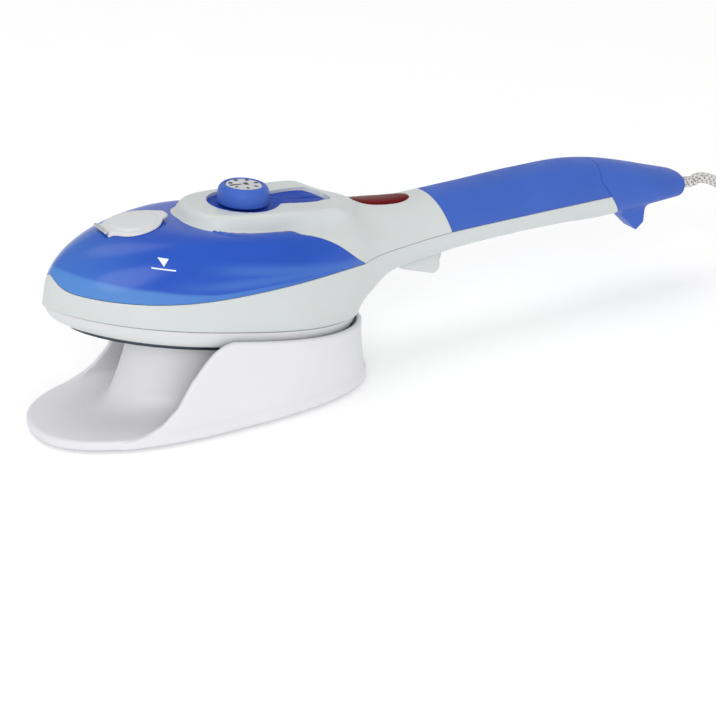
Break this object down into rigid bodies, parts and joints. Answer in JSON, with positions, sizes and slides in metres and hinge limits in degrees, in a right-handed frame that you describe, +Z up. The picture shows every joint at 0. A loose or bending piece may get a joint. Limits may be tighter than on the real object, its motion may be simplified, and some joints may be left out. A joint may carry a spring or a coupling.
{
  "type": "handheld steamer",
  "caption": "Iron-shaped garment steamer with a clear tank, steam dial and rear handle, resting nose-up in a moulded stand, with a textile mains cord.",
  "frame": {"origin": "on the surface the stand rests on, under the middle of the stand and steamer together, without the cord", "axes": "+X from the stand's nose towards the cord end of the handle, +Y to the left of a user holding the handle, +Z up"},
  "size_m": [0.5676, 0.1309, 0.1073],
  "materials": {
    "white_plastic": "smooth satin",
    "grey_plastic": "silver-grey gloss",
    "blue_plastic": "satin royal blue",
    "navy_plastic": "gloss dark blue",
    "tank_plastic": "clear blue moulding with a soft sheen",
    "red_lens": "clear dark red",
    "lamp": "clear",
    "coated_sole": "dark non-stick coating",
    "cast_metal": "as cast",
    "steel": "bright",
    "brass": "turned",
    "silicone": "matte",
    "clear_tube": "milky",
    "ceramic": "fired, modelled as a dense plastic",
    "foot_rubber": "matte",
    "braid": "woven textile braid",
    "cable_sheath": "matte",
    "brown_wire": "matte",
    "blue_wire": "matte"
  },
  "bodies": {
    "stand": {"stand_shell": "white_plastic", "rubber_foot_1": "foot_rubber", "rubber_foot_2": "foot_rubber", "rubber_foot_3": "foot_rubber", "rubber_foot_4": "foot_rubber", "cord_coil": "braid", "cord_tail": "braid", "plug_body": "white_plastic", "plug_pin_1": "steel", "plug_pin_2": "steel"},
    "dial": {"steam_dial": "blue_plastic", "dial_disc": "steel"},
    "needle": {"valve_needle": "brass"},
    "trigger": {"trigger": "grey_plastic"},
    "piston": {"pump_piston": "white_plastic"},
    "cap": {"filler_cap": "white_plastic", "filler_seal": "silicone"},
    "steamer": {"cap_hinge_pin": "steel", "chamber_gasket": "silicone", "console_cover": "grey_plastic", "cord_clamp": "white_plastic", "cord_gland": "navy_plastic", "delivery_tube": "clear_tube", "dial_trim_plate": "navy_plastic", "end_cap": "blue_plastic", "filler_neck": "tank_plastic", "grip_cover": "blue_plastic", "handle_lower_shell": "grey_plastic", "handle_screw_1": "steel", "handle_screw_2": "steel", "heat_shield_skirt": "grey_plastic", "heater_casting": "cast_metal", "heating_element": "steel", "indicator_lens": "red_lens", "inner_cable": "cable_sheath", "lamp_holder": "white_plastic", "live_wire": "brown_wire", "lower_housing": "grey_plastic", "mains_cord": "braid", "neck_upper_cover": "grey_plastic", "neon_lamp": "lamp", "neutral_wire": "blue_wire", "pump_body": "white_plastic", "soleplate": "coated_sole", "steam_chamber_cover": "cast_metal", "suction_tube": "clear_tube", "terminal_block": "ceramic", "thermal_fuse": "brass", "thermostat": "ceramic", "trigger_bracket": "grey_plastic", "trigger_pin": "steel", "trigger_spring": "steel", "valve_guide": "white_plastic", "valve_seat": "brass", "water_tank": "tank_plastic"}
  },
  "joints": [
    {"name": "steamer_lift", "type": "slide", "parent": "stand", "child": "steamer", "axis": [0, 0, 1], "range_m": [0, 0.09]},
    {"name": "dial_turn", "type": "hinge", "parent": "steamer", "child": "dial", "pos_m": [-0.0784, 0, 0.09781], "axis": [0.0906, 0, 0.9959], "range_deg": [0, 270]},
    {"name": "needle_rise", "type": "slide", "parent": "steamer", "child": "needle", "axis": [0.0906, 0, 0.9959], "range_m": [0, 0.0034]},
    {"name": "trigger_press", "type": "hinge", "parent": "steamer", "child": "trigger", "pos_m": [0.00848, 0, 0.05204], "axis": [0, -1, 0], "range_deg": [0, 8], "stiffness_Nm_per_rad": 0.5, "springref_deg": -2.86, "deforming": ["trigger_spring"]},
    {"name": "pump_stroke", "type": "slide", "parent": "steamer", "child": "piston", "axis": [0.2079, 0, 0.9781], "range_m": [0, 0.0025]},
    {"name": "cap_open", "type": "hinge", "parent": "steamer", "child": "cap", "pos_m": [-0.15252, 0, 0.09829], "axis": [0, -1, 0], "range_deg": [0, 100]}
  ],
  "couplings": [
    {"joint": "needle_rise", "follows": "dial_turn", "m_per_rad": 0.0006366},
    {"joint": "pump_stroke", "follows": "trigger_press", "m_per_rad": 0.0155}
  ]
}
